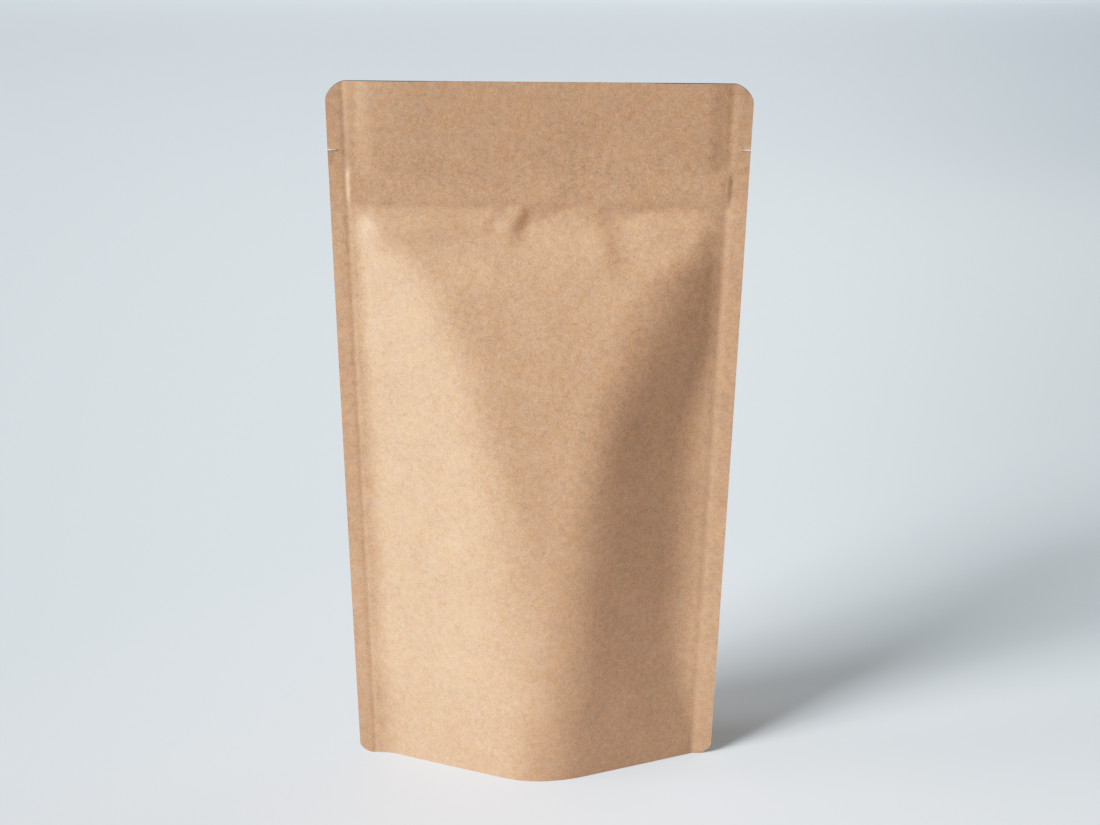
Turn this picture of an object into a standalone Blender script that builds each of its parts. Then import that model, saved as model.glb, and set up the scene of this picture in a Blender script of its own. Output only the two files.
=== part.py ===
"""Kraft stand-up pouch with a press-to-close zipper, filled and standing.

Two panels of paper film are sealed flat to each other down both sides, and a
folded gusset holds them apart at the foot. The zipper keeps the top flat. Below
it each panel bends along two upright folds: a flat flank runs in from each side
seal, and a middle facet hangs between the folds, narrow at the foot and as wide
as the pouch under the zipper. The folds meet in a rounded prow at the foot.

The middle plane of the side seals is X-Z, and -Y is the front.
"""

from math import cos, exp, hypot, pi, radians, sin, tan

import bmesh
import bpy

MM = 0.001

# The flat pouch, as it is cut and sealed.
WIDTH = 130 * MM
HEIGHT = 225 * MM
SIDE_SEAL = 5.1 * MM
SEAL_THICKNESS = 0.5 * MM
TOP_CORNER = (5.9 * MM, 5.2 * MM)
TOP_CORNER_BOW = 1.1 * MM
BOTTOM_CORNER = (4.2 * MM, 3.4 * MM)
BOTTOM_CORNER_BOW = 0.9 * MM

# Tear notches in the side seals, and the press-to-close zipper under them.
NOTCH_HEIGHT = (202.8 * MM, 203.8 * MM)
NOTCH_LENGTH = 2.4 * MM
NOTCH_WIDTH = 0.6 * MM
ZIPPER_BOTTOM = 187 * MM
ZIPPER_TOP = 199.5 * MM
ZIPPER_RELIEF = 0.6 * MM
ZIPPER_EDGE = 1.6 * MM

# The standing shape. The side edges lean in as the foot is drawn open, and the
# body fills out below the zipper with a rounded shoulder.
EDGE_LEAN = 5.2 * MM
LEAN_POWER = 1.15
BULGE_TOP = 188.3 * MM
SHOULDER_ROUND = 8 * MM
SEAL_FLAT = 9 * MM

# Half the distance between the two folds at the foot, and what it gains up to
# the top of the bulge: as (gain, power) pairs, a slow one and a fast one.
FOLD_AT_FOOT = 7.4 * MM
FOLD_GAINS = ((17.5 * MM, 1.5), (37 * MM, 5))
FLANK_LEAST = 1 * MM
OFFSET_RUN = 20 * MM

# Left and right of each panel at four levels: the angle of its flank, and the
# widths in millimetres of its bend at the seal and of its fold. The offset is
# how far the facet stands off the middle, in millimetres.
FRONT = -1
BACK = 1
LEVELS = (0, 50 * MM, 110 * MM, 150 * MM)
PANELS = {
    FRONT: {
        "flanks": ((23.8, 23.6, 23.2, 24.0), (23.5, 28.5, 28.0, 26.5)),
        "fillets": ((11, 10, 10, 10), (3, 18, 17, 6)),
        "folds": ((15, 20, 18, 22), (18, 30, 20, 28)),
        "offset": (2.8, 2.1, 2.1, 2.1),
    },
    BACK: {
        "flanks": ((24.6, 26.0, 26.0, 25.0), (24.9, 24.5, 24.5, 25.0)),
        "fillets": ((8, 12, 12, 8), (7, 9, 9, 7)),
        "folds": ((16, 22, 20, 24), (16, 20, 20, 24)),
        "offset": (-1.0, -1.0, -1.0, -1.0),
    },
}

# The mouth: two lips that stand a little apart above the zipper.
LIP_BOW = 2.3 * MM
MOUTH_GAP = 2.4 * MM
MOUTH_DEPTH = 22 * MM
MOUTH_MARGIN = 2.5 * MM

# The gusset underneath: a sheet that arches between the two skirts.
SKIRT = 0.7 * MM
GUSSET_MIDDLE = 9 * MM
GUSSET_SIDE = 30 * MM
GUSSET_LEAST = 1.6 * MM
GUSSET_ROUNDNESS = 0.7

# Creases pressed into the panels under the zipper, each a ridge with a dent on
# its right: (x, z) of the upper end, (x, z) of the lower end, reach and height.
CREASES = {
    FRONT: (
        ((-3.0 * MM, 188 * MM), (-9.5 * MM, 177 * MM), 3.8 * MM, 1.0 * MM),
        ((19.5 * MM, 185 * MM), (20.5 * MM, 171 * MM), 3.6 * MM, 0.6 * MM),
    ),
    BACK: (
        ((9.0 * MM, 187 * MM), (14.0 * MM, 174 * MM), 3.4 * MM, 0.7 * MM),
        ((-19.0 * MM, 186 * MM), (-17.0 * MM, 172 * MM), 3.0 * MM, 0.5 * MM),
    ),
}
CREASE_END = 5 * MM
CREASE_FADE = 9 * MM

# How finely the panels are divided. Columns crowd a little towards the seals.
SEAL_COLUMNS = (0.0, 0.35, 1.0)
PANEL_COLUMNS = 40
COLUMN_CROWDING = 0.14 * pi
BODY_ROWS = 22
CREASE_ROWS = 8
SHOULDER_ROWS = 5
CREASE_START = 150 * MM
TOP_ROWS = 4
CUTTER_COLUMNS = 22
GUSSET_POINTS = 10

# How far a cutter reaches past what it cuts, and the step that finds its ends.
CUTTER_MARGIN = 2 * MM
SEARCH_STEP = 0.25 * MM

KRAFT_COLOUR = (0.52, 0.33, 0.19, 1.0)
KRAFT_ROUGHNESS = 0.85


def blend(t):
    """0 below t = 0, 1 above t = 1, and a smooth step between."""
    t = min(max(t, 0.0), 1.0)
    return t * t * (3 - 2 * t)


def bend(distance, width):
    """Rise of a unit slope that sets in smoothly over a bend of this width."""
    if width <= 0 or abs(distance) >= width / 2:
        return max(distance, 0.0)
    t = distance / width + 0.5
    return width * (t**3 - t**4 / 2)


def half_width(z):
    """Half the pouch's width from edge to edge at this height."""
    return WIDTH / 2 - EDGE_LEAN * (1 - z / HEIGHT) ** LEAN_POWER


def seal_line(z):
    """Distance of each side seal's inner line from the middle."""
    return half_width(z) - SIDE_SEAL


def by_height(values, z):
    """A value that changes smoothly from level to level."""
    value = values[0]
    for i in range(1, len(LEVELS)):
        share = (z - LEVELS[i - 1]) / (LEVELS[i] - LEVELS[i - 1])
        value += (values[i] - values[i - 1]) * blend(share)
    return value


def fold_distance(z):
    """Distance of each fold from the facet's middle."""
    rise = max(z, 0.0) / BULGE_TOP
    return FOLD_AT_FOOT + sum(gain * rise**power for gain, power in FOLD_GAINS)


def body_depth(x, z, side):
    """Depth of the filled body: flank, fold, facet, fold, flank."""
    if z >= BULGE_TOP:
        return 0.0
    panel = PANELS[side]
    left_slope, right_slope = (tan(radians(by_height(a, z))) for a in panel["flanks"])
    left_fillet, right_fillet = (by_height(w, z) * MM for w in panel["fillets"])
    left_bend, right_bend = (by_height(w, z) * MM for w in panel["folds"])
    left_start = seal_line(z) - left_fillet / 2
    right_start = seal_line(z) - right_fillet / 2
    fold = min(fold_distance(z), min(left_start, right_start) - FLANK_LEAST)
    shift = by_height(panel["offset"], z) * MM * blend((left_start - fold) / OFFSET_RUN)
    left, right = shift - fold, shift + fold
    left_run, right_run = left_start + left, right_start - right
    facet = (right_slope * right_run - left_slope * left_run) / (right - left)
    depth = left_slope * bend(x + left_start, left_fillet)
    depth -= (left_slope - facet) * bend(x - left, min(left_bend, 2 * left_run))
    depth -= (right_slope + facet) * bend(x - right, min(right_bend, 2 * right_run))
    depth += right_slope * bend(x - right_start, right_fillet)
    return depth * blend((BULGE_TOP - z) / SHOULDER_ROUND)


def zipper_relief(x, z):
    """The zipper's strip stands out a little, up to the side seals."""
    up = blend((z - ZIPPER_BOTTOM) / ZIPPER_EDGE)
    down = blend((ZIPPER_TOP - z) / ZIPPER_EDGE)
    inside = blend((seal_line(z) - abs(x)) / ZIPPER_EDGE)
    return ZIPPER_RELIEF * up * down * inside


def lip_bow(x, z):
    """Above the bulge the panels bow apart, most at the mouth."""
    across = max(1 - (x / seal_line(z)) ** 2, 0.0)
    return LIP_BOW * across * blend((z - ZIPPER_BOTTOM) / (HEIGHT - ZIPPER_BOTTOM))


def crease_height(x, z, side):
    """Sum of the panel's creases: ridge on the left, dent on the right."""
    height = 0.0
    for (x0, z0), (x1, z1), reach, top in CREASES[side]:
        length = hypot(x1 - x0, z1 - z0)
        along = ((x - x0) * (x1 - x0) + (z - z0) * (z1 - z0)) / length
        across = ((x0 - x) * (z1 - z0) + (z - z0) * (x1 - x0)) / length
        past = max(-along, along - length, 0.0) / reach
        t = across / reach
        height -= top * 2 * t / (1 + t * t) ** 1.5 * exp(-past * past)
    return height * blend((ZIPPER_BOTTOM + CREASE_END - z) / CREASE_FADE)


def panel_depth(x, z, side):
    """Distance of a panel's face from the middle plane of the seals."""
    free = blend((seal_line(z) - abs(x)) / SEAL_FLAT)
    depth = SEAL_THICKNESS / 2 + body_depth(x, z, side) + zipper_relief(x, z)
    depth += free * (lip_bow(x, z) + crease_height(x, z, side))
    return max(depth, SEAL_THICKNESS / 2)


def corner_cut(from_edge, corner, bow):
    """Height that a rounded corner takes off this far in from the edge."""
    across, up = corner
    if from_edge >= across:
        return 0.0
    t = from_edge / across
    return up * (1 - t) - 4 * bow * t * (1 - t)


def column_places():
    """Places across a panel, as (seal share, panel share) pairs."""
    left = [(-1, share) for share in SEAL_COLUMNS]
    step = (pi - 2 * COLUMN_CROWDING) / PANEL_COLUMNS
    turns = [COLUMN_CROWDING + step * i for i in range(1, PANEL_COLUMNS)]
    panel = [(0, -cos(turn) / cos(COLUMN_CROWDING)) for turn in turns]
    right = [(1, share) for share in reversed(SEAL_COLUMNS)]
    return left + panel + right


def column_x(place, z):
    """X of a column at this height."""
    side, share = place
    if side:
        return side * (half_width(z) - share * SIDE_SEAL)
    return share * seal_line(z)


def row_heights():
    """Heights of the rows, closer together under the zipper and at its edges."""
    body = [CREASE_START * i / BODY_ROWS for i in range(BODY_ROWS)]
    shoulder_start = BULGE_TOP - SHOULDER_ROUND
    step = (shoulder_start - CREASE_START) / CREASE_ROWS
    body += [CREASE_START + step * i for i in range(CREASE_ROWS)]
    step = (ZIPPER_BOTTOM - shoulder_start) / SHOULDER_ROWS
    shoulder = [shoulder_start + step * i for i in range(SHOULDER_ROWS)]
    zipper = [ZIPPER_BOTTOM, ZIPPER_BOTTOM + ZIPPER_EDGE, ZIPPER_TOP - ZIPPER_EDGE]
    step = (HEIGHT - ZIPPER_TOP) / TOP_ROWS
    top = [ZIPPER_TOP + step * i for i in range(TOP_ROWS + 1)]
    return body + shoulder + zipper + top


def panel_grid(mesh, side):
    """One panel's face as a grid of vertices, rows upwards."""
    places = column_places()
    grid = []
    for z in row_heights():
        row = []
        for place in places:
            from_edge = half_width(z) - abs(column_x(place, z))
            top = HEIGHT - corner_cut(from_edge, TOP_CORNER, TOP_CORNER_BOW)
            foot = corner_cut(from_edge, BOTTOM_CORNER, BOTTOM_CORNER_BOW)
            level = foot + (top - foot) * z / HEIGHT
            x = column_x(place, level)
            y = side * panel_depth(x, level, side)
            row.append(mesh.verts.new((x, y, level)))
        grid.append(row)
    return grid


def fill_grid(mesh, grid, flip):
    """Faces between the rows of a grid."""
    for lower, upper in zip(grid, grid[1:]):
        for i in range(len(lower) - 1):
            corners = [lower[i], lower[i + 1], upper[i + 1], upper[i]]
            mesh.faces.new(corners[::-1] if flip else corners)


def border(grid):
    """The vertices round a grid, in order."""
    right = [row[-1] for row in grid[1:-1]]
    left = [row[0] for row in grid[1:-1]]
    return grid[0] + right + grid[-1][::-1] + left[::-1]


def new_object(name, mesh):
    """Puts a bmesh into the scene as an object of its own."""
    bmesh.ops.recalc_face_normals(mesh, faces=mesh.faces)
    data = bpy.data.meshes.new(name)
    mesh.to_mesh(data)
    mesh.free()
    obj = bpy.data.objects.new(name, data)
    bpy.context.scene.collection.objects.link(obj)
    return obj


def filled_body():
    """Both panels, joined all round their edges into one closed body."""
    mesh = bmesh.new()
    front = panel_grid(mesh, FRONT)
    back = panel_grid(mesh, BACK)
    fill_grid(mesh, front, flip=False)
    fill_grid(mesh, back, flip=True)
    rim_front, rim_back = border(front), border(back)
    for i, corner in enumerate(rim_front):
        mesh.faces.new([rim_front[i - 1], rim_back[i - 1], rim_back[i], corner])
    return new_object("pouch", mesh)


def tube(name, sections):
    """A closed body through sections that all have as many points."""
    mesh = bmesh.new()
    rings = [[mesh.verts.new(point) for point in section] for section in sections]
    for near, far in zip(rings, rings[1:]):
        for i in range(len(near)):
            mesh.faces.new([near[i - 1], near[i], far[i], far[i - 1]])
    mesh.faces.new(rings[0])
    mesh.faces.new(rings[-1][::-1])
    cutter = new_object(name, mesh)
    cutter.hide_render = True
    cutter.display_type = "WIRE"
    return cutter


def gusset_end(toward):
    """How far out the skirts stand apart, to the left (-1) or the right (1)."""
    reach = seal_line(0)
    while min(panel_depth(toward * reach, 0, side) for side in (FRONT, BACK)) < (
        SKIRT + GUSSET_LEAST
    ):
        reach -= SEARCH_STEP
    return toward * reach


def gusset_section(x, end):
    """The hollow between the skirts at this x: an arch, open below."""
    front = panel_depth(x, 0, FRONT) - SKIRT
    back = panel_depth(x, 0, BACK) - SKIRT
    top = GUSSET_MIDDLE + (GUSSET_SIDE - GUSSET_MIDDLE) * (x / end) ** 2
    points = [(x, -front, -CUTTER_MARGIN)]
    for i in range(GUSSET_POINTS + 1):
        turn = pi * i / GUSSET_POINTS
        half = front if turn < pi / 2 else back
        points.append((x, -half * cos(turn), top * sin(turn) ** GUSSET_ROUNDNESS))
    points.append((x, back, -CUTTER_MARGIN))
    return points


def gusset_hollow():
    """The hollow under the gusset, as far out as the skirts stand apart."""
    sections = []
    for i in range(CUTTER_COLUMNS + 1):
        share = -cos(pi * i / CUTTER_COLUMNS)
        end = gusset_end(-1 if share < 0 else 1)
        sections.append(gusset_section(end * abs(share), end))
    return tube("gusset_hollow", sections)


def mouth_slit():
    """The slit between the lips: a thin lens, down as far as the zipper."""
    reach = seal_line(HEIGHT) - MOUTH_MARGIN
    foot = HEIGHT - MOUTH_DEPTH
    sections = []
    for i in range(CUTTER_COLUMNS + 1):
        share = -cos(pi * (i + 0.5) / (CUTTER_COLUMNS + 1))
        gap = MOUTH_GAP * (1 - share**2)
        x = reach * share
        top = HEIGHT + CUTTER_MARGIN
        wide = [(x, -gap / 2, top), (x, gap / 2, top)]
        narrow = [(x, gap / 4, foot), (x, -gap / 4, foot)]
        sections.append(wide + narrow)
    return tube("mouth_slit", sections)


def tear_notch(side, height):
    """A short slit in from the edge of one side seal, for tearing open."""
    edge = side * half_width(height)
    inner = edge - side * NOTCH_LENGTH
    outer = edge + side * CUTTER_MARGIN
    half = NOTCH_WIDTH / 2
    outline = [(outer, height + half), (inner, height + half / 3)]
    outline += [(inner, height - half / 3), (outer, height - half)]
    ends = (-CUTTER_MARGIN, CUTTER_MARGIN)
    sections = [[(x, y, z) for x, z in outline] for y in ends]
    return tube("tear_notch_left" if side < 0 else "tear_notch_right", sections)


def cut(body, cutter):
    """Takes the cutter's shape out of the body."""
    modifier = body.modifiers.new(cutter.name, "BOOLEAN")
    modifier.operation = "DIFFERENCE"
    modifier.solver = "EXACT"
    modifier.object = cutter


def kraft_paper():
    """Plain brown kraft paper, matt."""
    material = bpy.data.materials.new("kraft_paper")
    material.use_nodes = True
    shader = material.node_tree.nodes["Principled BSDF"]
    shader.inputs["Base Color"].default_value = KRAFT_COLOUR
    shader.inputs["Roughness"].default_value = KRAFT_ROUGHNESS
    shader.inputs["Metallic"].default_value = 0.0
    return material


def centre_in_depth(objects):
    """Moves all of it along Y, so that the pouch's depth is centred on 0."""
    depths = [corner[1] for corner in objects[0].bound_box]
    for obj in objects:
        obj.location.y = -(min(depths) + max(depths)) / 2


def main():
    for obj in list(bpy.data.objects):
        bpy.data.objects.remove(obj, do_unlink=True)
    pouch = filled_body()
    pouch.data.materials.append(kraft_paper())
    cutters = [gusset_hollow(), mouth_slit()]
    cutters += [tear_notch(side, z) for side, z in zip((-1, 1), NOTCH_HEIGHT)]
    for cutter in cutters:
        cut(pouch, cutter)
    centre_in_depth([pouch] + cutters)
    pouch.data.shade_smooth()


main()
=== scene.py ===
# %% [markdown]
# # A kraft paper pouch that stands on its own
#
# A stand-up pouch is made from three webs of paper film: a front panel, a
# back panel and a gusset folded in between them at the foot. The panels are
# welded flat to each other down both sides, and a press-to-close zipper keeps
# the top flat. Filling it pushes the gusset open, and the flat panels answer
# by bending along a few soft folds.
#
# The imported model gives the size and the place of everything. Here it gets
# real paper: thin sheets with two layers at every seal, a mouth that can be
# looked into, creases, and a fibrous brown surface.

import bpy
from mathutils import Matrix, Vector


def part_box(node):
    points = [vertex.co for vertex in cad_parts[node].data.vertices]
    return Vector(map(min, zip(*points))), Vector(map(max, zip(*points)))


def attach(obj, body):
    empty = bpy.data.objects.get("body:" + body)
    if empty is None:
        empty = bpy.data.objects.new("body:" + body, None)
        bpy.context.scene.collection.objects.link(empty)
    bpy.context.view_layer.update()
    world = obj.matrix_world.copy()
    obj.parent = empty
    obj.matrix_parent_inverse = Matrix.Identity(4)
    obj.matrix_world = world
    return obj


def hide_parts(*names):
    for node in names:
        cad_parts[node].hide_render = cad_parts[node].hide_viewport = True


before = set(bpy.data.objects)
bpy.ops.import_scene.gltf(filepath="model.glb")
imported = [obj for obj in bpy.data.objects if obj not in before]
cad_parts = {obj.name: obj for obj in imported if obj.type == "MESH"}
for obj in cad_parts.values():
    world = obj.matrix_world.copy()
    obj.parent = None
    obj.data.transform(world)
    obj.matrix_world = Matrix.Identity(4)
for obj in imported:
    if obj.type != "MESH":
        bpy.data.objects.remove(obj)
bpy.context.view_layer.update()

# %% Import what the lesson uses
from math import cos, exp, hypot, pi, radians, sin, tan

import bmesh
import bpy
from mathutils import Matrix, Vector, noise

MM = 0.001
FRONT, BACK = -1, 1
LEFT, RIGHT = -1, 1

# %% [markdown]
# ## The flat pouch
#
# Before it is filled a pouch is a flat rectangle with rounded corners, so its
# sizes come first: width and height, the welded strip down each side, the
# corner cuts, the tear notches and the zipper. Each has a name, because every
# later step is measured from them, and what differs from side to side is listed
# for the left and the right. A seal's groove is its depth, its width and how far
# inside the seal's line it runs. The zipper's ridge is its place up the pouch,
# its height and its width. The sheet is a little thicker than real paper film,
# so that its cut edge still shows as a line.

# %% Sizes of the flat pouch
WIDTH = 130 * MM
HEIGHT = 225 * MM
SIDE_SEAL = 5.1 * MM
PAPER = 0.24 * MM
SEAL_THICKNESS = 0.5 * MM
SEAL_GROOVE = {
    LEFT: (0.15 * MM, 0.7 * MM, 0.2 * MM),
    RIGHT: (0.22 * MM, 1.3 * MM, 1.2 * MM),
}
LEAST_DEPTH = 0.05 * MM
TOP_CORNER = (6.1 * MM, 5.7 * MM)
BOTTOM_CORNER = (4.4 * MM, 3.6 * MM)
CORNER_POWER = 1.6
NOTCH_HEIGHT = {LEFT: 204.2 * MM, RIGHT: 204.9 * MM}
NOTCH_LENGTH = 2.4 * MM
NOTCH_WIDTH = 0.4 * MM
NOTCH_CURL = 0.35 * MM
CURL_SPREAD = 0.6 * MM
ZIPPER_BOTTOM = 187 * MM
ZIPPER_TOP = 199.5 * MM
ZIPPER_RELIEF = 0.55 * MM
ZIPPER_EDGE = 3.6 * MM
ZIPPER_END = 1.1 * MM
ZIPPER_RIDGE = (194.6 * MM, 0.06 * MM, 0.7 * MM)
print("flat pouch", WIDTH / MM, "by", HEIGHT / MM, "mm")

# %% [markdown]
# ## Two smooth steps
#
# Paper can bend but hardly stretch, so a filled panel is made of flat parts
# with soft bends between them. Two small functions describe that. `blend` goes
# smoothly from 0 to 1. `bend` is flat up to a fold line and climbs evenly
# after it, with a rounded bend of a given width in between.


# %% Smooth steps and bends
def blend(t):
    """0 below t = 0, 1 above t = 1, and a smooth step between."""
    t = min(max(t, 0.0), 1.0)
    return t * t * (3 - 2 * t)


def bend(distance, width):
    """Rise of a unit slope that sets in smoothly over a bend of this width."""
    if width <= 0 or abs(distance) >= width / 2:
        return max(distance, 0.0)
    t = distance / width + 0.5
    return width * (t**3 - t**4 / 2)


print("half way through a bend", bend(0, 1))

# %% [markdown]
# ## The side edges
#
# When the foot is drawn open, the side edges lean in: the paper that spans the
# open foot has to come from somewhere. The lean sets in from the top down.

# %% Width of the pouch at each height
EDGE_LEAN = 5.2 * MM
LEAN_POWER = 1.15


def half_width(z):
    """Half the pouch's width from edge to edge at this height."""
    return WIDTH / 2 - EDGE_LEAN * (1 - min(z / HEIGHT, 1.0)) ** LEAN_POWER


def seal_line(z):
    """Distance of each side seal's inner line from the middle."""
    return half_width(z) - SIDE_SEAL


print("foot", round(2 * half_width(0) / MM, 1), "mm wide")

# %% [markdown]
# ## The filled body
#
# A level cut through one panel shows five stretches: seal, flat flank, facet,
# flat flank, seal. The facet lies between two upright folds, which are close
# together at the foot and run apart to the shoulders. The two flanks of the
# front panel don't lean alike, so the facet turns a little to close the cut. At
# the top the body ends in a shoulder, lower and softer on the right. Each
# panel's slopes (degrees) and bends (mm) are listed for four levels, from the
# foot up.

# %% Shape of each panel
BULGE_TOP = 188.3 * MM
SHOULDER_ROUND = 8 * MM
SHOULDER_FALL = 2.5 * MM
SHOULDER_SOFTER = 1.4
SHOULDER_TURN = 80 * MM
FOLD_SPREAD = (7.4, 17.5, 37)
FOLD_MARGIN = 5 * MM
OFFSET_RUN = 20 * MM
LEVELS = (0, 50 * MM, 110 * MM, 150 * MM)
FRONT_PANEL = {
    "flanks": ((23.8, 23.2, 23.6, 24.0), (23.5, 28.9, 27.8, 25.5)),
    "fillets": ((10, 8.5, 8.5, 6.5), (3, 18, 17, 6)),
    "folds": ((19, 29, 20, 22), (18, 30, 20, 32)),
    "offset": (2.8, 2.1, 2.1, 2.1),
}
BACK_PANEL = {
    "flanks": ((24.6, 26.0, 26.0, 25.0), (24.9, 24.5, 24.5, 25.0)),
    "fillets": ((8, 12, 12, 8), (7, 9, 9, 7)),
    "folds": ((16, 22, 20, 24), (16, 20, 20, 24)),
    "offset": (-1.0, -1.0, -1.0, -1.0),
}
PANELS = {FRONT: FRONT_PANEL, BACK: BACK_PANEL}


def by_height(values, z):
    """A value that changes smoothly from level to level."""
    value = values[0]
    for i in range(1, len(LEVELS)):
        share = (z - LEVELS[i - 1]) / (LEVELS[i] - LEVELS[i - 1])
        value += (values[i] - values[i - 1]) * blend(share)
    return value


def fold_distance(z):
    """Distance of each fold from the middle: it opens slowly, then fast."""
    rise = max(z, 0.0) / BULGE_TOP
    foot, slow, fast = FOLD_SPREAD
    return (foot + slow * rise**1.5 + fast * rise**5) * MM


def body_depth(x, z, side):
    """Depth of the filled body: flank, fold, facet, fold, flank."""
    toward_right = blend(0.5 + x / SHOULDER_TURN)
    top = BULGE_TOP - SHOULDER_FALL * toward_right
    if z >= top:
        return 0.0
    panel = PANELS[side]
    left_slope, right_slope = (tan(radians(by_height(a, z))) for a in panel["flanks"])
    left_fillet, right_fillet = (by_height(w, z) * MM for w in panel["fillets"])
    left_bend, right_bend = (by_height(w, z) * MM for w in panel["folds"])
    left_start = seal_line(z) - left_fillet / 2
    right_start = seal_line(z) - right_fillet / 2
    room = min(left_start, right_start) - fold_distance(z)
    fold = fold_distance(z) + room - (room + hypot(room, FOLD_MARGIN)) / 2
    shift = by_height(panel["offset"], z) * MM * blend((left_start - fold) / OFFSET_RUN)
    left, right = shift - fold, shift + fold
    left_run, right_run = left_start + left, right_start - right
    facet = (right_slope * right_run - left_slope * left_run) / (right - left)
    depth = left_slope * bend(x + left_start, left_fillet)
    depth -= (left_slope - facet) * bend(x - left, min(left_bend, 2 * left_run))
    depth -= (right_slope + facet) * bend(x - right, min(right_bend, 2 * right_run))
    depth += right_slope * bend(x - right_start, right_fillet)
    softness = SHOULDER_ROUND * (1 + SHOULDER_SOFTER * toward_right)
    return depth * blend((top - z) / softness)


print("prow", round(body_depth(0, 0, FRONT) / MM, 1), "mm in front of the seals")

# %% [markdown]
# ## Zipper, lips and seal grooves
#
# The zipper's strip stands out as a band with a fine ridge where its track
# is, and its ends are crushed flat at the seals. Above it the two lips bow
# apart a little and lean forward together, as a pouch does that was opened and
# pressed shut again. The weld leaves a shallow groove just inside each seal.


# %% Relief of the top and the seals
def zipper_relief(x, z):
    """The zipper's strip stands out a little, up to the side seals."""
    up = blend((z - ZIPPER_BOTTOM) / ZIPPER_EDGE)
    down = blend((ZIPPER_TOP - z) / ZIPPER_EDGE)
    inside = blend((seal_line(z) - abs(x)) / ZIPPER_END)
    ridge_z, ridge_height, ridge_spread = ZIPPER_RIDGE
    ridge = ridge_height * exp(-(((z - ridge_z) / ridge_spread) ** 2))
    return (ZIPPER_RELIEF * up * down + ridge) * inside


LIP_BOW = 0.4 * MM
LIP_LEAN = 1.1 * MM
LIP_BEND = 7 * MM
RIGHT_LEAN = 0.5


def lip_rise(z):
    """0 up to the zipper's top, and 1 at the mouth."""
    return bend(z - ZIPPER_TOP, LIP_BEND) / (HEIGHT - ZIPPER_TOP)


def lip_bow(x, z):
    """Above the zipper the lips bow apart, most in the middle."""
    return LIP_BOW * max(1 - (x / seal_line(z)) ** 4, 0.0) * lip_rise(z)


def lip_lean(x, z):
    """Both lips lean forward together, also a little at the right seal."""
    least = RIGHT_LEAN if x > 0 else 0.0
    toward_seal = min(abs(x / seal_line(z)), 1.0) ** 4
    return LIP_LEAN * (1 - (1 - least) * toward_seal) * lip_rise(z)


def seal_groove(x, z):
    """The shallow groove that the weld's edge leaves in the panel."""
    depth, width, inward = SEAL_GROOVE[RIGHT if x > 0 else LEFT]
    away = (abs(x) - seal_line(z) + inward) / width
    return depth * exp(-away * away)


print("mouth", round(2 * lip_bow(0, HEIGHT) / MM, 1), "mm open")

# %% [markdown]
# ## Creases
#
# Under the zipper the paper was pressed in by hand, which leaves a crease: a
# ridge with a dent beside it, dying away at both ends. Its height across the
# line follows one simple curve that is high on one side and low on the other.
# The creases are listed as (start, end, reach, height) in mm, so the back panel
# can have its own. Between them the whole sheet cockles in slow waves, listed
# as (width, place in the noise, height up the pouch, size).

# %% Creases in both panels
CREASES = {
    FRONT: (
        ((-1.0, 189), (-6.0, 181.5), 4.4, 1.0),
        ((20.5, 186), (23.0, 174.5), 6.5, 0.7),
        ((-16.0, 181), (-12.0, 186), 3.5, -0.25),
    ),
    BACK: (
        ((9.0, 190), (14.0, 174), 3.4, 0.7),
        ((-19.0, 188), (-17.0, 172), 3.0, 0.5),
    ),
}
CREASE_TOP = ZIPPER_BOTTOM + 5 * MM
CREASE_FADE = 9 * MM


def crease_height(x, z, side):
    """Sum of the panel's creases: ridge on the left, dent on the right."""
    height = 0.0
    for (x0, z0), (x1, z1), reach, top in CREASES[side]:
        x0, z0, x1, z1 = x0 * MM, z0 * MM, x1 * MM, z1 * MM
        length = hypot(x1 - x0, z1 - z0)
        along = ((x - x0) * (x1 - x0) + (z - z0) * (z1 - z0)) / length
        across = ((x0 - x) * (z1 - z0) + (z - z0) * (x1 - x0)) / length
        past = max(-along, along - length, 0.0) / (reach * MM)
        t = across / (reach * MM)
        height -= top * MM * 2 * t / (1 + t * t) ** 1.5 * exp(-past * past)
    return height * blend((CREASE_TOP - z) / CREASE_FADE)


# %% Cockles: the slow waves of real paper
COCKLES = ((24, 7.3, 30, 0.16), (9, 3.1, 11, 0.035))


def cockle(x, z, side):
    """Low waves some centimetres long, as paper has when it was folded."""
    height = 0.0
    for across, seed, up, size in COCKLES:
        place = Vector((x / (across * MM), seed * side, z / (up * MM)))
        height += size * noise.noise(place)
    return height * MM


print("cockle at the middle", round(cockle(0, 0.1, FRONT) / MM, 3), "mm")

# %% [markdown]
# ## One depth for every point of a panel
#
# All of it adds up to one number: how far the outside of a panel stands from
# the middle plane of the seals. The contents also swell the two corners under
# the zipper. A mask keeps the seals themselves flat, and from the zipper up the
# panels never come closer to each other than a least depth.

# %% Depth of a panel
CORNER_PUFF = 1.0 * MM
PUFF_HEIGHT = 180 * MM
PUFF_SPREAD = 5 * MM
PUFF_RISE = 10 * MM
PUFF_REACH = (17 * MM, 26 * MM)
FLAT_RIM = 9 * MM
LIP_LEAST = 0.8 * MM


def corner_puff(x, z):
    """The contents swell the corners under the ends of the zipper a little."""
    inside = seal_line(z) - 1 * MM - abs(x)
    start, length = PUFF_REACH
    across = blend(inside / PUFF_RISE) * blend(1 - (inside - start) / length)
    up = (z - PUFF_HEIGHT) / PUFF_SPREAD
    return CORNER_PUFF * across * exp(-up * up)


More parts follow.
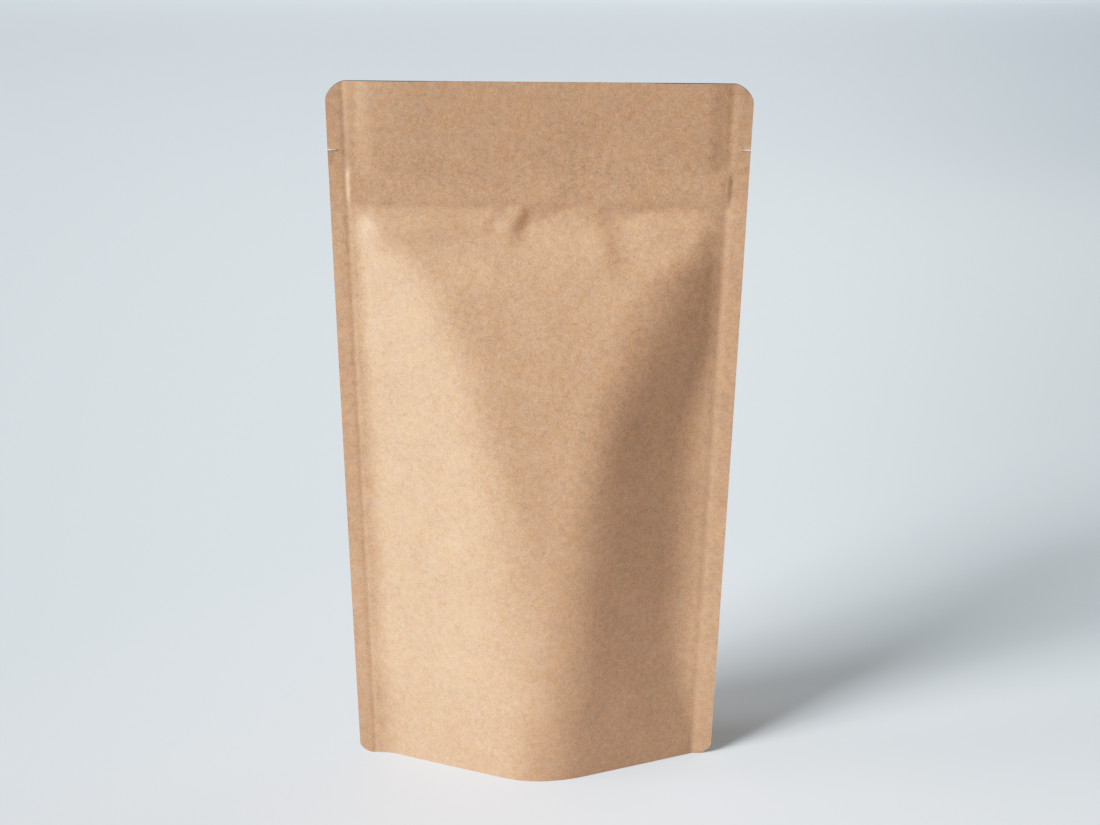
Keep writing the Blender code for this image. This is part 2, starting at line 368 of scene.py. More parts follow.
def panel_depth(x, z, side):
    """Distance of a panel's outside from the middle plane of the seals."""
    free = blend((seal_line(z) - abs(x)) / FLAT_RIM)
    depth = SEAL_THICKNESS / 2 + body_depth(x, z, side) + zipper_relief(x, z)
    depth += lip_bow(x, z) - seal_groove(x, z) + corner_puff(x, z)
    depth += free * (crease_height(x, z, side) + cockle(x, z, side))
    least = LIP_LEAST * free * blend((z - ZIPPER_BOTTOM + 3 * MM) / (6 * MM))
    return max(depth, LEAST_DEPTH, least)


def deepest(side):
    """The furthest that a panel stands out at its foot."""
    return max(panel_depth(i * MM / 4, 0, side) for i in range(-80, 80))


box_low, box_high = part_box("pouch")
SEAL_Y = (box_low[1] + box_high[1]) / 2 + (deepest(FRONT) - deepest(BACK)) / 2
print("seal plane at y", round(SEAL_Y / MM, 2), "mm")

# %% [markdown]
# ## Columns and rows
#
# Each panel starts as a plain grid. Columns are close together at the seals
# and rows at the zipper and the notches, because the small shapes are there.
# Then every point of the grid is put where the paper is: rounded corners pull
# the top and foot rows in, and the notches pull in the seal's edge.


# %% Places of the columns and rows
SEAL_COLUMNS = 9
PANEL_COLUMNS = 132
COLUMN_CROWDING = 0.16 * pi
CORNER_SHARE = (0, 0.015, 0.05)
NOTCH_ROWS = (-1.2, -0.8, -0.55, -0.5, -0.35, -0.2, 0.2, 0.35, 0.5, 0.55, 0.8)
CORNER_START = 206 * MM
FOOT_END = 40 * MM


def column_places():
    """Places across a panel, as (side, share of the seal or the panel)."""
    shares = list(CORNER_SHARE) + [i / SEAL_COLUMNS for i in range(1, SEAL_COLUMNS + 1)]
    step = (pi - 2 * COLUMN_CROWDING) / PANEL_COLUMNS
    turns = [COLUMN_CROWDING + step * i for i in range(1, PANEL_COLUMNS)]
    middle = [(0, -cos(turn) / cos(COLUMN_CROWDING)) for turn in turns]
    left = [(LEFT, share) for share in shares]
    right = [(RIGHT, share) for share in reversed(shares)]
    return left + middle + right


def spread_rows(start, end, gap):
    """Heights from start up to, and without, end, about gap apart."""
    count = max(round((end - start) / gap), 1)
    return [start + (end - start) * i / count for i in range(count)]


def row_heights():
    """Heights of the rows, with a pair at each side of both notches."""
    rows = spread_rows(0, 150 * MM, 1.5 * MM)
    rows += spread_rows(150 * MM, 201 * MM, 0.75 * MM)
    for height in sorted(NOTCH_HEIGHT.values()):
        rows = [z for z in rows if z < height - 1.5 * NOTCH_WIDTH]
        rows += [height + step * NOTCH_WIDTH for step in NOTCH_ROWS]
    rows += spread_rows(rows[-1] + 0.5 * MM, HEIGHT, 1.0 * MM)
    return sorted(rows) + [HEIGHT]


PLACES = column_places()
ROWS = row_heights()
print(len(PLACES), "columns and", len(ROWS), "rows")


# %% Rounded corners, lips and notches
LIP_DROP = 0.22 * MM


def column_x(place, z):
    """X of a column at this height."""
    side, share = place
    if side:
        return side * (half_width(z) - share * SIDE_SEAL)
    return share * seal_line(z)


def corner_cut(from_edge, corner):
    """Height that a rounded corner takes off this far in from the edge."""
    across, up = corner
    if from_edge >= across:
        return 0.0
    rest = max(1 - from_edge / across, 0.0) ** CORNER_POWER
    return up * (1 - max(1 - rest, 0.0) ** (1 / CORNER_POWER))


def lip_drop(x, side):
    """The front lip is cut a hair lower towards the seals."""
    if side == BACK:
        return 0.0
    return LIP_DROP * blend((abs(x) / MM - 22) / 20)


def notch_inset(place, z):
    """How far the edge steps in at a tear notch, fading out at the seal line."""
    side, share = place
    if not side:
        return 0.0
    off = abs(z - NOTCH_HEIGHT[side]) / NOTCH_WIDTH
    return NOTCH_LENGTH * (1 - share) * min(max((0.5 - off) / 0.3, 0.0), 1.0)


def notch_curl(place, z):
    """How far the paper curls up beside a tear notch."""
    side, share = place
    if not side:
        return 0.0
    off = (z - NOTCH_HEIGHT[side]) / CURL_SPREAD
    return NOTCH_CURL * blend(1 - share / 0.5) * exp(-off * off)


def panel_point(place, z, side):
    """A point of a panel's outside, from its column and its row."""
    from_edge = half_width(z) - abs(column_x(place, z))
    top = HEIGHT - corner_cut(from_edge, TOP_CORNER)
    top -= lip_drop(column_x(place, z), side)
    foot = corner_cut(from_edge, BOTTOM_CORNER)
    low = CORNER_START
    level = z
    if z < FOOT_END:
        level = foot + (FOOT_END - foot) * z / FOOT_END
    elif z >= low:
        level = low + (top - low) * (z - low) / (HEIGHT - low)
    x = column_x(place, level)
    depth = panel_depth(x, level, side)
    if side == FRONT:
        depth += notch_curl(place, level)
    y = side * depth - lip_lean(x, level)
    return Vector((x - place[0] * notch_inset(place, level), y, level))


print("corner point", [round(v / MM, 1) for v in panel_point(PLACES[0], HEIGHT, FRONT)])

# %% [markdown]
# ## From grid to paper
#
# A sheet of paper is a surface with a thickness. The grid is shaped, then
# extruded inwards: the new faces are the lining, and the strip round them is
# the cut edge. Each of the three gets its own material.


# %% Helpers for meshes
def add_object(name, mesh, shift=0.0):
    """Puts a closed bmesh into the scene, with its faces pointing outwards."""
    bmesh.ops.translate(mesh, verts=mesh.verts, vec=(0, shift, 0))
    bmesh.ops.recalc_face_normals(mesh, faces=mesh.faces)
    for face in mesh.faces:
        face.smooth = True
    for edge in mesh.edges:
        if len({face.material_index for face in edge.link_faces}) > 1:
            edge.smooth = False
    data = bpy.data.meshes.new(name)
    mesh.to_mesh(data)
    mesh.free()
    piece = bpy.data.objects.new(name, data)
    bpy.context.scene.collection.objects.link(piece)
    print(name, len(data.polygons), "faces")
    return piece


def thicken(mesh, move):
    """Extrudes a sheet; move places each new vertex. Rim is 1, far side is 2."""
    outside = set(mesh.faces)
    result = bmesh.ops.extrude_face_region(
        mesh, geom=list(mesh.faces), use_keep_orig=True
    )
    inside = {g for g in result["geom"] if isinstance(g, bmesh.types.BMFace)}
    for vert in [g for g in result["geom"] if isinstance(g, bmesh.types.BMVert)]:
        vert.co = move(vert.co)
    for face in mesh.faces:
        face.material_index = 0 if face in outside else 2 if face in inside else 1


def paper_panel(name, side):
    """One panel of the pouch, outside, cut edge and lining."""
    mesh = bmesh.new()
    columns, rows = len(PLACES) - 1, len(ROWS) - 1
    bmesh.ops.create_grid(mesh, x_segments=columns, y_segments=rows, size=1)
    for vert in mesh.verts:
        place = PLACES[round((vert.co.x + 1) / 2 * columns)]
        z = ROWS[round((vert.co.y + 1) / 2 * rows)]
        vert.co = panel_point(place, z, side)

    def inside(co):
        """The point of the lining behind a point of the outside."""
        lean = lip_lean(co.x, co.z)
        depth = max(side * (co.y + lean) - PAPER, (SEAL_THICKNESS - 2 * PAPER) / 2)
        return Vector((co.x, side * depth - lean, co.z))

    thicken(mesh, inside)
    return add_object(name, mesh, SEAL_Y)


# %% Make the panels
front_panel = paper_panel("front_panel", FRONT)
back_panel = paper_panel("back_panel", BACK)

# %% [markdown]
# ## The gusset
#
# The third web is folded up between the panels. Standing, it is an arch that
# is low in the middle of the foot and climbs towards the seals, where it is
# still folded flat. It is a grid bent over an arch, with the same thickness.

# %% Make the gusset
GUSSET_MIDDLE = 9 * MM
GUSSET_SIDE = 30 * MM
GUSSET_ROUNDNESS = 0.7
GUSSET_COLUMNS = 64
GUSSET_POINTS = 28
GUSSET_ROOM = 1.2 * MM


def gusset_end(toward):
    """How far out the panels stand apart, to the left or to the right."""
    reach = seal_line(0)
    while min(panel_depth(toward * reach, 0, side) for side in PANELS) < GUSSET_ROOM:
        reach -= 0.25 * MM
    return toward * reach


def gusset_point(share, turn, end):
    """A point of the arch at this share of the way to its end."""
    x = end * share
    side = FRONT if turn < pi / 2 else BACK
    top = GUSSET_MIDDLE + (GUSSET_SIDE - GUSSET_MIDDLE) * share**2
    height = 0.1 * MM + top * max(sin(turn), 0.0) ** GUSSET_ROUNDNESS
    thinnest = min(panel_depth(x, height * i / 8, side) for i in range(9))
    half = max(thinnest - 1.3 * PAPER, 0.2 * MM)
    return Vector((x, -half * cos(turn), height))


def gusset_sheet():
    """The web under the pouch, as far out as the panels stand apart."""
    left, right = gusset_end(LEFT), gusset_end(RIGHT)
    mesh = bmesh.new()
    bmesh.ops.create_grid(
        mesh, x_segments=GUSSET_COLUMNS, y_segments=GUSSET_POINTS, size=1
    )
    for vert in mesh.verts:
        share = sin(vert.co.x * pi / 2)
        turn = pi * (vert.co.y + 1) / 2
        vert.co = gusset_point(abs(share), turn, left if share < 0 else right)

    def inside(co):
        """The point of the sheet's far side, a hair lower and nearer the middle."""
        return Vector((co.x, co.y * 0.985, co.z - 0.18 * MM * blend(co.z / MM)))

    thicken(mesh, inside)
    return add_object("gusset", mesh, SEAL_Y)


gusset = gusset_sheet()

# %% [markdown]
# ## The zipper's track
#
# Looking down into the mouth you see two plastic flanges that hold each other
# by a round track. One cross-section, extruded nearly from seal to seal, is
# enough. The panels meet at its ends, so it stops a little short of them.

# %% Make the zipper
ZIPPER_SECTION = (
    (0.10, 190.6), (0.42, 190.6), (0.46, 193.6), (0.46, 195.6), (0.42, 198.8),
    (0.16, 198.8), (0.14, 196.2), (-0.14, 196.2), (-0.16, 199.0), (-0.42, 199.0),
    (-0.46, 195.6), (-0.46, 193.6), (-0.42, 190.6), (-0.10, 190.6), (-0.10, 193.0),
    (0.10, 193.0),
)
TRACK_GAP = 8 * MM


def zipper_track():
    """Both flanges and the closed track between them, as one extrusion."""
    mesh = bmesh.new()
    reach = seal_line(ZIPPER_BOTTOM) - TRACK_GAP
    ring = [mesh.verts.new((-reach, y * MM, z * MM)) for y, z in ZIPPER_SECTION]
    end = mesh.faces.new(ring)
    result = bmesh.ops.extrude_face_region(mesh, geom=[end], use_keep_orig=True)
    moved = [g for g in result["geom"] if isinstance(g, bmesh.types.BMVert)]
    bmesh.ops.translate(mesh, verts=moved, vec=(2 * reach, 0, 0))
    long_edges = [e for e in mesh.edges if e.calc_length() > reach]
    bmesh.ops.bevel(
        mesh, geom=long_edges, offset=0.05 * MM, affect="EDGES", segments=2,
        profile=0.5, material=-1,
    )
    return add_object("zipper_track", mesh, SEAL_Y)


zipper = zipper_track()

# %% [markdown]
# ## Helpers for materials
#
# Shader nodes are wired in code with a few small helpers. They all rest on one
# rule: a number or a colour is set on a socket, and another node's output is
# linked to it.


# %% Node helpers
def fill(tree, sockets, values):
    """Sets each named socket's value, or links another node's output to it."""
    for key, value in values.items():
        if isinstance(value, bpy.types.NodeSocket):
            tree.links.new(value, sockets[key])
        else:
            sockets[key].default_value = value


def new_node(tree, kind, inputs=None, **settings):
    """Adds a node, sets its properties and fills its inputs."""
    node = tree.nodes.new(kind)
    for key, value in settings.items():
        setattr(node, key, value)
    fill(tree, node.inputs, inputs or {})
    return node


def math_node(tree, operation, *values):
    """A Math node's result."""
    inputs = dict(enumerate(values))
    return new_node(tree, "ShaderNodeMath", inputs, operation=operation).outputs[0]


def noise_value(tree, place, scale, detail=2.0, rough=0.5):
    """A Noise Texture's value, about 0.5 on average."""
    inputs = {"Vector": place, "Scale": scale, "Detail": detail, "Roughness": rough}
    return new_node(tree, "ShaderNodeTexNoise", inputs).outputs["Fac"]


def ramp(tree, value, start, end, low, high):
    """A smooth change from low to high as the value goes from start to end."""
    return new_node(
        tree, "ShaderNodeMapRange",
        {"Value": value, "From Min": start, "From Max": end, "To Min": low, "To Max": high},
        interpolation_type="SMOOTHSTEP",
    ).outputs[0]


def mix_colours(tree, factor, first, second):
    """A blend of two colours."""
    node = new_node(tree, "ShaderNodeMix", {"Factor": factor}, data_type="RGBA")
    sockets = [socket for socket in node.inputs if socket.type == "RGBA"]
    fill(tree, sockets, {0: first, 1: second})
    return next(socket for socket in node.outputs if socket.type == "RGBA")


def scale_colour(tree, colour, factor):
    """A colour made darker or lighter."""
    inputs = {0: colour, "Scale": factor}
    return new_node(tree, "ShaderNodeVectorMath", inputs, operation="SCALE").outputs[0]


def new_group(name, inputs, outputs):
    """An empty node group with the named sockets, and its two end nodes."""
    tree = bpy.data.node_groups.new(name, "ShaderNodeTree")
    for label, kind, value in inputs:
        socket = tree.interface.new_socket(label, in_out="INPUT", socket_type=kind)
        if value is not None:
            socket.default_value = value
    for label, kind in outputs:
        tree.interface.new_socket(label, in_out="OUTPUT", socket_type=kind)
    return tree, tree.nodes.new("NodeGroupInput"), tree.nodes.new("NodeGroupOutput")


def new_material(name):
    """A material, with its node tree, its shader and its Object coordinates."""
    material = bpy.data.materials.new(name)
    material.use_nodes = True
    tree = material.node_tree
    place = new_node(tree, "ShaderNodeTexCoord").outputs["Object"]
    return material, tree, tree.nodes["Principled BSDF"], place


# %% [markdown]
# ## Kraft paper
#
# Unbleached paper is never one brown. Cloudy patches come from how the pulp
# settled, a finer mottle from clumps of fibres, short pale and dark fibres lie
# mostly along the sheet, and here and there is a dark fleck. All of that is
# one node group, so that the outside, the gusset and the cut edges share it.
# Each part of the pattern is a number that is added to one tone, and the tone
# darkens or lightens the brown. The pattern is measured in the object's own
# metres, so a scale of 520 means clumps about 2 mm across.


# %% Build the paper group
FLOAT, COLOR, VECTOR = "NodeSocketFloat", "NodeSocketColor", "NodeSocketVector"


def fibre_mask(tree, place, stretch, turn, width):
    """Short fibres: a noise stretched along one direction, thinned to lines."""
    mapped = new_node(
        tree, "ShaderNodeMapping",
        {"Vector": place, "Rotation": (0, turn, 0), "Scale": stretch},
    ).outputs[0]
    value = noise_value(tree, mapped, 1.0, 1.0)
    away = math_node(tree, "ABSOLUTE", math_node(tree, "SUBTRACT", value, 0.5))
    line = math_node(tree, "SUBTRACT", 1.0, math_node(tree, "DIVIDE", away, width))
    return math_node(tree, "MAXIMUM", line, 0.0)


def build_paper_group():
    """Node group: colour, relief and roughness of kraft paper."""
    tree, start, end = new_group(
        "kraft_pulp",
        [("Place", VECTOR, None), ("Paper", COLOR, (0.5, 0.33, 0.2, 1)),
         ("Warm", COLOR, (0.5, 0.3, 0.17, 1)), ("Mottle", FLOAT, 0.1),
         ("Fibres", FLOAT, 0.1), ("Flecks", FLOAT, 0.5)],
        [("Color", COLOR), ("Height", FLOAT), ("Roughness", FLOAT)],
    )
    place = start.outputs["Place"]
    cloud = noise_value(tree, place, 70, 2.0)
    clump = noise_value(tree, place, 520, 3.0, 0.55)
    grit = noise_value(tree, place, 1900, 2.0, 0.6)
    hue = noise_value(tree, place, 330, 2.0)
    along = fibre_mask(tree, place, (380, 900, 3400), 0.12, 0.05)
    cross = fibre_mask(tree, place, (2600, 900, 420), 0.5, 0.045)

    def swing(value):
        """How far a noise is from its average."""
        return math_node(tree, "SUBTRACT", value, 0.5)

    tone = math_node(tree, "MULTIPLY_ADD", cloud, 0.6, -0.3)
    tone = math_node(tree, "MULTIPLY_ADD", swing(clump), 1.1, tone)
    tone = math_node(tree, "MULTIPLY_ADD", swing(grit), 1.7, tone)
    tone = math_node(tree, "MULTIPLY_ADD", tone, start.outputs["Mottle"], 1.0)
    fibres = math_node(tree, "SUBTRACT", along, cross)
    fibres = math_node(tree, "MULTIPLY", fibres, start.outputs["Fibres"])
    tone = math_node(tree, "ADD", tone, fibres)

    cells = new_node(
        tree, "ShaderNodeTexVoronoi", {"Vector": place, "Scale": 95.0, "Randomness": 1.0}
    )
    pick = new_node(tree, "ShaderNodeSeparateColor", {"Color": cells.outputs["Color"]})
    size = math_node(tree, "MULTIPLY_ADD", pick.outputs[0], 0.022, 0.008)
    fleck = math_node(tree, "DIVIDE", cells.outputs["Distance"], size)
    fleck = math_node(tree, "MAXIMUM", math_node(tree, "SUBTRACT", 1.0, fleck), 0.0)
    rare = math_node(tree, "GREATER_THAN", pick.outputs[1], 0.6)
    fleck = math_node(tree, "MULTIPLY", fleck, rare)
    fleck = math_node(tree, "MULTIPLY", fleck, start.outputs["Flecks"])
    tone = math_node(tree, "MAXIMUM", math_node(tree, "SUBTRACT", tone, fleck), 0.15)

    brown = mix_colours(tree, hue, start.outputs["Paper"], start.outputs["Warm"])
    relief = math_node(tree, "MULTIPLY_ADD", clump, 0.9, grit)
    fill(tree, end.inputs, {
        "Color": scale_colour(tree, brown, tone),
        "Height": math_node(tree, "MULTIPLY_ADD", along, 0.35, relief),
        "Roughness": math_node(tree, "MULTIPLY_ADD", clump, 0.2, 0.40),
    })
    return tree


kraft_pulp = build_paper_group()
print("group", kraft_pulp.name, len(kraft_pulp.nodes), "nodes")

# %% [markdown]
# ## Painted shade, scuffs and flecks
#
# A pouch isn't one tone from top to foot either. Shade is painted into the
# paper's tone: the top, from just under the zipper up, and the foot are made a
# shade darker, where less light falls on them. A few scuffs and flecks are
# placed one by one, as soft narrow ovals listed as (x, z, length, width, angle,
# strength) in mm and degrees. It is a second node group, which puts out one
# tone.

# %% Build the group of painted shade and marks
# Painted shade: these two ramps darken the top and the foot of the paper.
PAINTED_SHADE_TOP = (178 * MM, 203 * MM, 1.0, 0.83)
PAINTED_SHADE_FOOT = (0.0, 45 * MM, 0.84, 1.0)
MARKS = (
    (-24.5, 167.4, 3.6, 0.3, 28, 0.22),
    (23.0, 156.0, 3.6, 0.25, -2, 0.2),
    (-42.5, 121.4, 0.9, 0.3, 35, -0.45),
    (-51.5, 137.5, 0.5, 0.4, 0, -0.35),
    (-32.5, 67.0, 0.9, 0.3, -30, -0.4),
    (-34.9, 221.0, 1.3, 0.25, 80, -0.3),
)


def mark_mask(tree, place, mark):
    """A soft-edged narrow oval: a scuff or a fleck, leaning by an angle."""
    x, z, length, width, angle, amount = mark
    inside = new_node(
        tree, "ShaderNodeMapping",
        {
            "Vector": place, "Location": (x * MM, 0, z * MM),
            "Rotation": (0, radians(angle), 0), "Scale": (width * MM, 1, length * MM),
        },
        vector_type="TEXTURE",
    ).outputs[0]
    flat = {0: inside, 1: (1, 0, 1)}
    flat = new_node(tree, "ShaderNodeVectorMath", flat, operation="MULTIPLY").outputs[0]
    away = new_node(tree, "ShaderNodeVectorMath", {0: flat}, operation="LENGTH")
    return ramp(tree, away.outputs["Value"], 0.2, 1.3, amount, 0.0)


def build_painted_shade_and_wear_group():
    """Node group: the tone at each place, with painted shade at the top and the foot, and the
    marks.
    """
    tree, start, end = new_group(
        "painted_shade_and_wear", [("Place", VECTOR, None)], [("Tone", FLOAT)]
    )
    place = start.outputs["Place"]
    height = new_node(tree, "ShaderNodeSeparateXYZ", {0: place}).outputs[2]
    top = ramp(tree, height, *PAINTED_SHADE_TOP)
    tone = math_node(tree, "MULTIPLY", top, ramp(tree, height, *PAINTED_SHADE_FOOT))
    for mark in MARKS:
        mask = mark_mask(tree, place, mark)
        tone = math_node(tree, "MULTIPLY_ADD", tone, mask, tone)
    fill(tree, end.inputs, {"Tone": tone})
    return tree


painted_shade_and_wear = build_painted_shade_and_wear_group()
print("group", painted_shade_and_wear.name, len(painted_shade_and_wear.nodes), "nodes")

# %% [markdown]
# ## The finishes
#
# Two finishes use the paper groups with their own values: the outside and the
# paler cut edge. Pressed paper has a faint sheen that takes on its brown. The
# lining is a dark barrier film and the zipper is milky plastic, and a small
# group gives both an uneven haze.

# %% Make the paper materials
SHEEN = 0.8
SHEEN_TINT = (1.0, 0.59, 0.37, 1)


def paper_material(name, paper, warm, mottle, fibres, flecks, relief):
    """A material of kraft paper, from the shared groups."""
    material, tree, shader, place = new_material(name)
    pulp = new_node(tree, "ShaderNodeGroup", node_tree=kraft_pulp)
    fill(tree, pulp.inputs, {
        "Place": place, "Paper": paper, "Warm": warm,
        "Mottle": mottle, "Fibres": fibres, "Flecks": flecks,
    })
    shade_and_wear = new_node(tree, "ShaderNodeGroup", node_tree=painted_shade_and_wear)
    fill(tree, shade_and_wear.inputs, {"Place": place})
    bump = new_node(
        tree, "ShaderNodeBump",
        {"Height": pulp.outputs["Height"], "Strength": 1.0, "Distance": relief},
    )
    # The base colour carries the painted shade of the top and the foot.
    fill(tree, shader.inputs, {
        "Base Color": scale_colour(tree, pulp.outputs["Color"], shade_and_wear.outputs["Tone"]),
        "Roughness": pulp.outputs["Roughness"],
        "Normal": bump.outputs[0],
        "Specular IOR Level": SHEEN,
        "Specular Tint": SHEEN_TINT,
    })
    return material


KRAFT = (0.394, 0.225, 0.136, 1)
KRAFT_WARM = (0.448, 0.200, 0.089, 1)
kraft_outside = paper_material(
    "kraft_outside", KRAFT, KRAFT_WARM, 0.56, 0.12, 0.7, 0.03 * MM
)
cut_edge = paper_material(
    "cut_edge", (0.66, 0.50, 0.36, 1), (0.62, 0.45, 0.30, 1), 0.2, 0.1, 0.3, 0.01 * MM
)


# %% Make the film materials
def build_film_group():
    """Node group: a film's colour and roughness, both a little uneven."""
    tree, start, end = new_group(
        "film_haze",
        [("Place", VECTOR, None), ("Film", COLOR, (0.5, 0.5, 0.5, 1)), ("Rough", FLOAT, 0.3)],
        [("Color", COLOR), ("Roughness", FLOAT)],
    )
    haze = noise_value(tree, start.outputs["Place"], 160, 3.0)
    tone = math_node(tree, "MULTIPLY_ADD", haze, 0.2, 0.8)
    fill(tree, end.inputs, {
        "Color": scale_colour(tree, start.outputs["Film"], tone),
        "Roughness": math_node(tree, "MULTIPLY_ADD", haze, 0.25, start.outputs["Rough"]),
    })
    return tree


film_haze = build_film_group()


def film_material(name, colour, rough, specular):
    """A plain film whose gloss is a little uneven."""
    material, tree, shader, place = new_material(name)
    haze = new_node(tree, "ShaderNodeGroup", node_tree=film_haze)
    fill(tree, haze.inputs, {"Place": place, "Film": colour, "Rough": rough})
    fill(tree, shader.inputs, {
        "Base Color": haze.outputs["Color"],
        "Roughness": haze.outputs["Roughness"],
        "Specular IOR Level": specular,
    })
    return material


lining = film_material("lining_film", (0.05, 0.058, 0.06, 1), 0.35, 0.4)
zipper_plastic = film_material("zipper_plastic", (0.72, 0.72, 0.68, 1), 0.3, 0.5)

# %% Give the materials to the pieces
for panel in (front_panel, back_panel):
    for material in (kraft_outside, cut_edge, lining):
        panel.data.materials.append(material)
for material in (lining, cut_edge, kraft_outside):
    gusset.data.materials.append(material)
zipper.data.materials.append(zipper_plastic)
print("materials", [m.name for m in bpy.data.materials])

# %% [markdown]
# ## Put the pieces on the frame
#
# Every piece rides on the pouch's one body, and together they stand for its
# one solid.

# %% Ride and replace
for piece in (front_panel, back_panel, gusset, zipper):
    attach(piece, "root")
    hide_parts("pouch")
print("pouch box", [round(v / MM, 1) for v in box_low], [round(v / MM, 1) for v in box_high])

# %% [markdown]
# ## The studio
#
# The pouch stands on a pale sheet of paper that sweeps up far behind it, so
# there is no horizon. It is one grid bent along a floor, a quarter turn and a
# wall. Light is painted into its tone: outside a lit pool the paper is darker,
# a little to the left, more to the right and at the back, where the light
# falls off, and to the right this deepens the far part of the pouch's shadow.
# It is darkest in front of the pouch, so that it bounces less light up onto
# the pouch.

# %% Make the sweep
FLOOR_FRONT = -1.6
FLOOR_BACK = 16.0
SWEEP_RADIUS = 2.0
WALL_TOP = 4.0
SWEEP_HALF = 8.0


def sweep_point(length):
    """(y, z) at this length along the floor, the curve and the wall."""
    turn = SWEEP_RADIUS * pi / 2
    y = FLOOR_FRONT + length
    if y < FLOOR_BACK:
        return y, 0.0
    over = y - FLOOR_BACK
    if over < turn:
        angle = over / SWEEP_RADIUS
        return FLOOR_BACK + SWEEP_RADIUS * sin(angle), SWEEP_RADIUS * (1 - cos(angle))
    return FLOOR_BACK + SWEEP_RADIUS, SWEEP_RADIUS + over - turn


def make_sweep():
    """Floor and backdrop in one bent grid."""
    mesh = bmesh.new()
    bmesh.ops.create_grid(mesh, x_segments=2, y_segments=120, size=1)
    total = FLOOR_BACK - FLOOR_FRONT + SWEEP_RADIUS * pi / 2 + WALL_TOP - SWEEP_RADIUS
    for vert in mesh.verts:
        y, z = sweep_point((vert.co.y + 1) / 2 * total)
        vert.co = Vector((vert.co.x * SWEEP_HALF, y, z))
    for face in mesh.faces:
        face.smooth = True
    data = bpy.data.meshes.new("sweep")
    mesh.to_mesh(data)
    mesh.free()
    sweep = bpy.data.objects.new("sweep", data)
    bpy.context.scene.collection.objects.link(sweep)
    return sweep


sweep = make_sweep()
print("sweep", len(sweep.data.polygons), "faces")

# %% Make the backdrop's paper
# Painted light and shadow: the pool's tones darken the paper where the light falls off, and
# to the right they deepen the pouch's far shadow.
POOL_NEAR = (0.72, 0.72, 0.74, 1)
POOL_FAR = (0.585, 0.67, 0.72, 1)
POOL_LEFT = 0.92
POOL_RIGHT = 0.67
POOL_FRONT = 0.2
POOL_BACK = 0.93
PICTURE_AWAY = 0.47


def sweep_material():
    """Pale matt paper, cooler at the back, with the light's falloff outside the lit pool
    painted in as a darker tone.
    """
    material, tree, shader, place = new_material("backdrop_paper")
    axes = new_node(tree, "ShaderNodeSeparateXYZ", {0: place})
    x, y = axes.outputs[0], axes.outputs[1]
    off = math_node(tree, "MULTIPLY_ADD", math_node(tree, "ABSOLUTE", x), 0.8, y)
    far = ramp(tree, off, -0.25, 0.35, 0.0, 1.0)
    colour = mix_colours(tree, far, POOL_NEAR, POOL_FAR)

    depth = math_node(tree, "MAXIMUM", math_node(tree, "ADD", y, PICTURE_AWAY), 0.1)
    aside = math_node(tree, "DIVIDE", x, depth)
    # Painted shadow: to the right the paper darkens towards the back.
    right = ramp(tree, y, -0.1, 0.3, 0.93, POOL_RIGHT)
    lit = ramp(tree, aside, 0.1, 0.45, 1.0, 0.0)
    gain = math_node(tree, "SUBTRACT", 1.0, right)
    pool = math_node(tree, "MULTIPLY_ADD", lit, gain, right)
    # Painted falloff at the back and the left; the darker paper in front bounces less light
    # onto the pouch.
    for tone in (
        ramp(tree, y, 1.0, 6.0, 1.0, POOL_BACK),
        ramp(tree, aside, -0.45, -0.1, POOL_LEFT, 1.0),
        ramp(tree, y, -0.38, -0.06, POOL_FRONT, 1.0),
    ):
        pool = math_node(tree, "MULTIPLY", pool, tone)
    fill(tree, shader.inputs, {
        "Base Color": scale_colour(tree, colour, pool),
        "Roughness": 0.6,
        "Specular IOR Level": 0.2,
    })
    return material


sweep.data.materials.append(sweep_material())
print("backdrop", sweep.data.materials[0].name)

# %% [markdown]
# ## The light
#
# Two broad windows side by side on the left, low and a little in front, light
# the left flank and leave the right one in shade. Their two soft shadows overlap
# into one with a dark heart. A lamp almost level with the floor skims the paper
# from the left, a weak one behind on the right keeps the shadow at the foot from
# going black, and a wide lamp overhead and a pale sky fill the rest. The windows
# are far away, so they are sun lamps with a wide angle.


# %% Make the lights
def add_lamp(name, kind, colour, turn, place=(0, 0, 0)):
    """A lamp in the scene, turned by a quaternion; it shines along its own -Z."""
    lamp = bpy.data.lights.new(name, kind)
    lamp.color = colour
    holder = bpy.data.objects.new(name, lamp)
    holder.location = place
    holder.rotation_euler = turn.to_euler()
    bpy.context.scene.collection.objects.link(holder)
    return lamp


def area_lamp(name, place, aim, size, power, colour):
    """A soft panel of light that points at a place."""
    turn = (Vector(aim) - Vector(place)).to_track_quat("-Z", "Y")
    lamp = add_lamp(name, "AREA", colour, turn, place)
    lamp.shape = "RECTANGLE"
    lamp.size, lamp.size_y = size
    lamp.energy = power
    print(name, power, "W")


def far_lamp(name, turn, rise, spread, strength, colour):
    """A soft lamp far away: turn is its angle from the front to the left."""
    turn, rise = radians(turn), radians(rise)
    toward = Vector((-cos(rise) * sin(turn), -cos(rise) * cos(turn), sin(rise)))
    lamp = add_lamp(name, "SUN", colour, toward.to_track_quat("Z", "Y"))
    lamp.energy = strength
    lamp.angle = radians(spread)
    print(name, strength)


KEY_COLOUR = (0.97, 1.0, 1.04)
far_lamp("window_left", 63, 28, 15, 5.35, KEY_COLOUR)
far_lamp("window_right", 51, 28, 15, 5.35, KEY_COLOUR)
far_lamp("side_lamp", 87, 5, 20, 6.6, KEY_COLOUR)
area_lamp("back_lamp", (1.2, 0.8, 0.8), (0.1, 0.1, 0), (1.0, 1.0), 9.5, (1.0, 0.96, 0.9))
area_lamp("top_lamp", (0.0, 0.4, 2.4), (0, 0.4, 0), (3.0, 3.0), 9.0, (1.0, 0.98, 0.95))

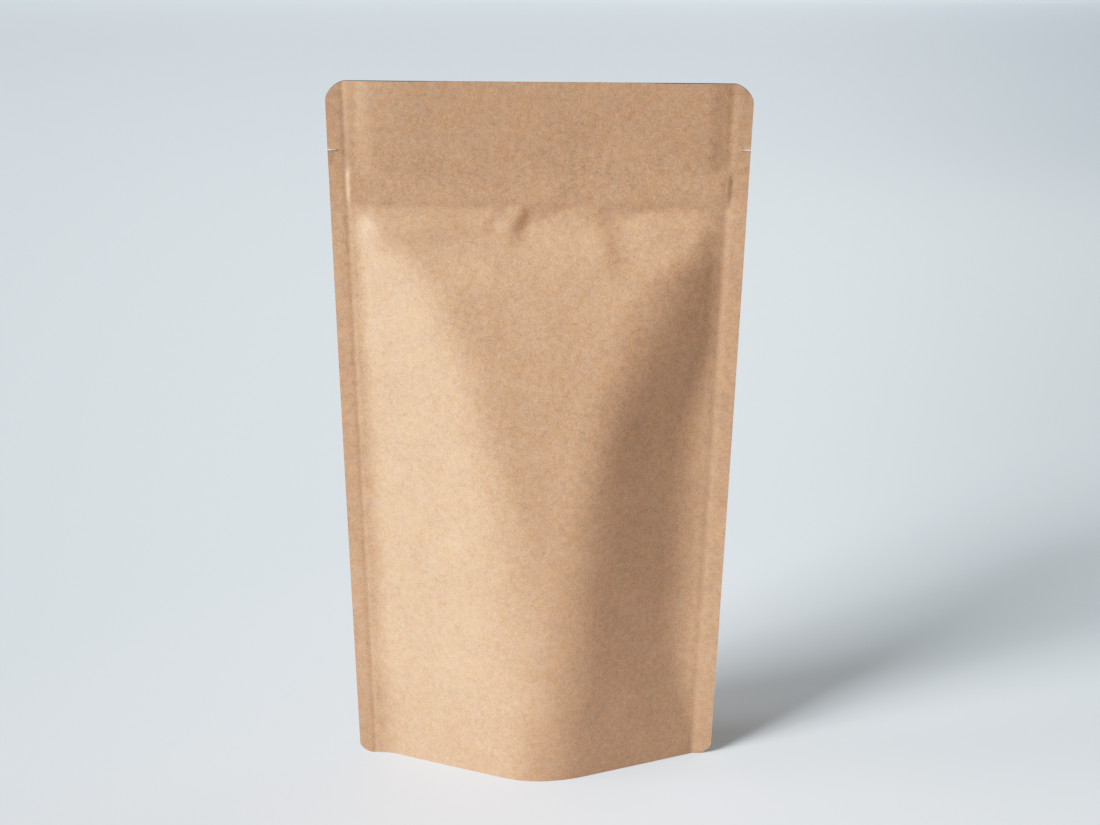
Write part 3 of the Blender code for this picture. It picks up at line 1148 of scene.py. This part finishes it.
world = bpy.data.worlds.new("studio")
bpy.context.scene.world = world
world.use_nodes = True
sky = world.node_tree.nodes["Background"]
sky.inputs["Color"].default_value = (1.0, 0.98, 0.94, 1)
sky.inputs["Strength"].default_value = 0.13

# %% [markdown]
# ## The camera
#
# A 50 mm lens looks down a little from half a metre away. The three angles are
# turned into the camera's own axes: where it looks, its right and its up.

# %% Make the camera
CAMERA_PLACE = Vector((-0.83 * MM, SEAL_Y - 470.8 * MM, 256.3 * MM))
PITCH, YAW, ROLL = radians(16.02), radians(0.58), radians(0.49)

forward = Vector((sin(YAW) * cos(PITCH), cos(YAW) * cos(PITCH), -sin(PITCH)))
level_right = Vector((cos(YAW), -sin(YAW), 0))
level_up = level_right.cross(forward)
right = cos(ROLL) * level_right + sin(ROLL) * level_up
up = cos(ROLL) * level_up - sin(ROLL) * level_right

lens = bpy.data.cameras.new("camera")
lens.lens = 50
lens.sensor_width = 36
lens.sensor_fit = "HORIZONTAL"
lens.clip_start = 0.01
camera = bpy.data.objects.new("camera", lens)
turn = Matrix((right, up, -forward)).transposed().to_4x4()
camera.matrix_world = Matrix.Translation(CAMERA_PLACE) @ turn
bpy.context.scene.collection.objects.link(camera)
bpy.context.scene.camera = camera
print("camera", [round(v, 3) for v in CAMERA_PLACE])

# %% [markdown]
# ## The picture's tones
#
# A camera doesn't clip bright parts, it rolls them off: twice the light gives
# less than twice the value, and bright colours turn paler. One curve over the
# whole picture does that.

# %% Set the tone curve
TONES = (0, 0.25, 0.5, 0.75, 1.0, 1.5, 2.0, 3.0, 4.0)
settings = bpy.context.scene.view_settings
settings.view_transform = "Standard"
settings.look = "None"
settings.use_curve_mapping = True
tone_curve = settings.curve_mapping
tone_curve.clip_max_x = TONES[-1]
points = tone_curve.curves[3].points
points[0].location = (0, 0)
points[1].location = (TONES[-1], 1 - exp(-TONES[-1]))
for tone in TONES[1:-1]:
    points.new(tone, 1 - exp(-tone))
tone_curve.update()
print("tone curve", [tuple(round(v, 2) for v in p.location) for p in points])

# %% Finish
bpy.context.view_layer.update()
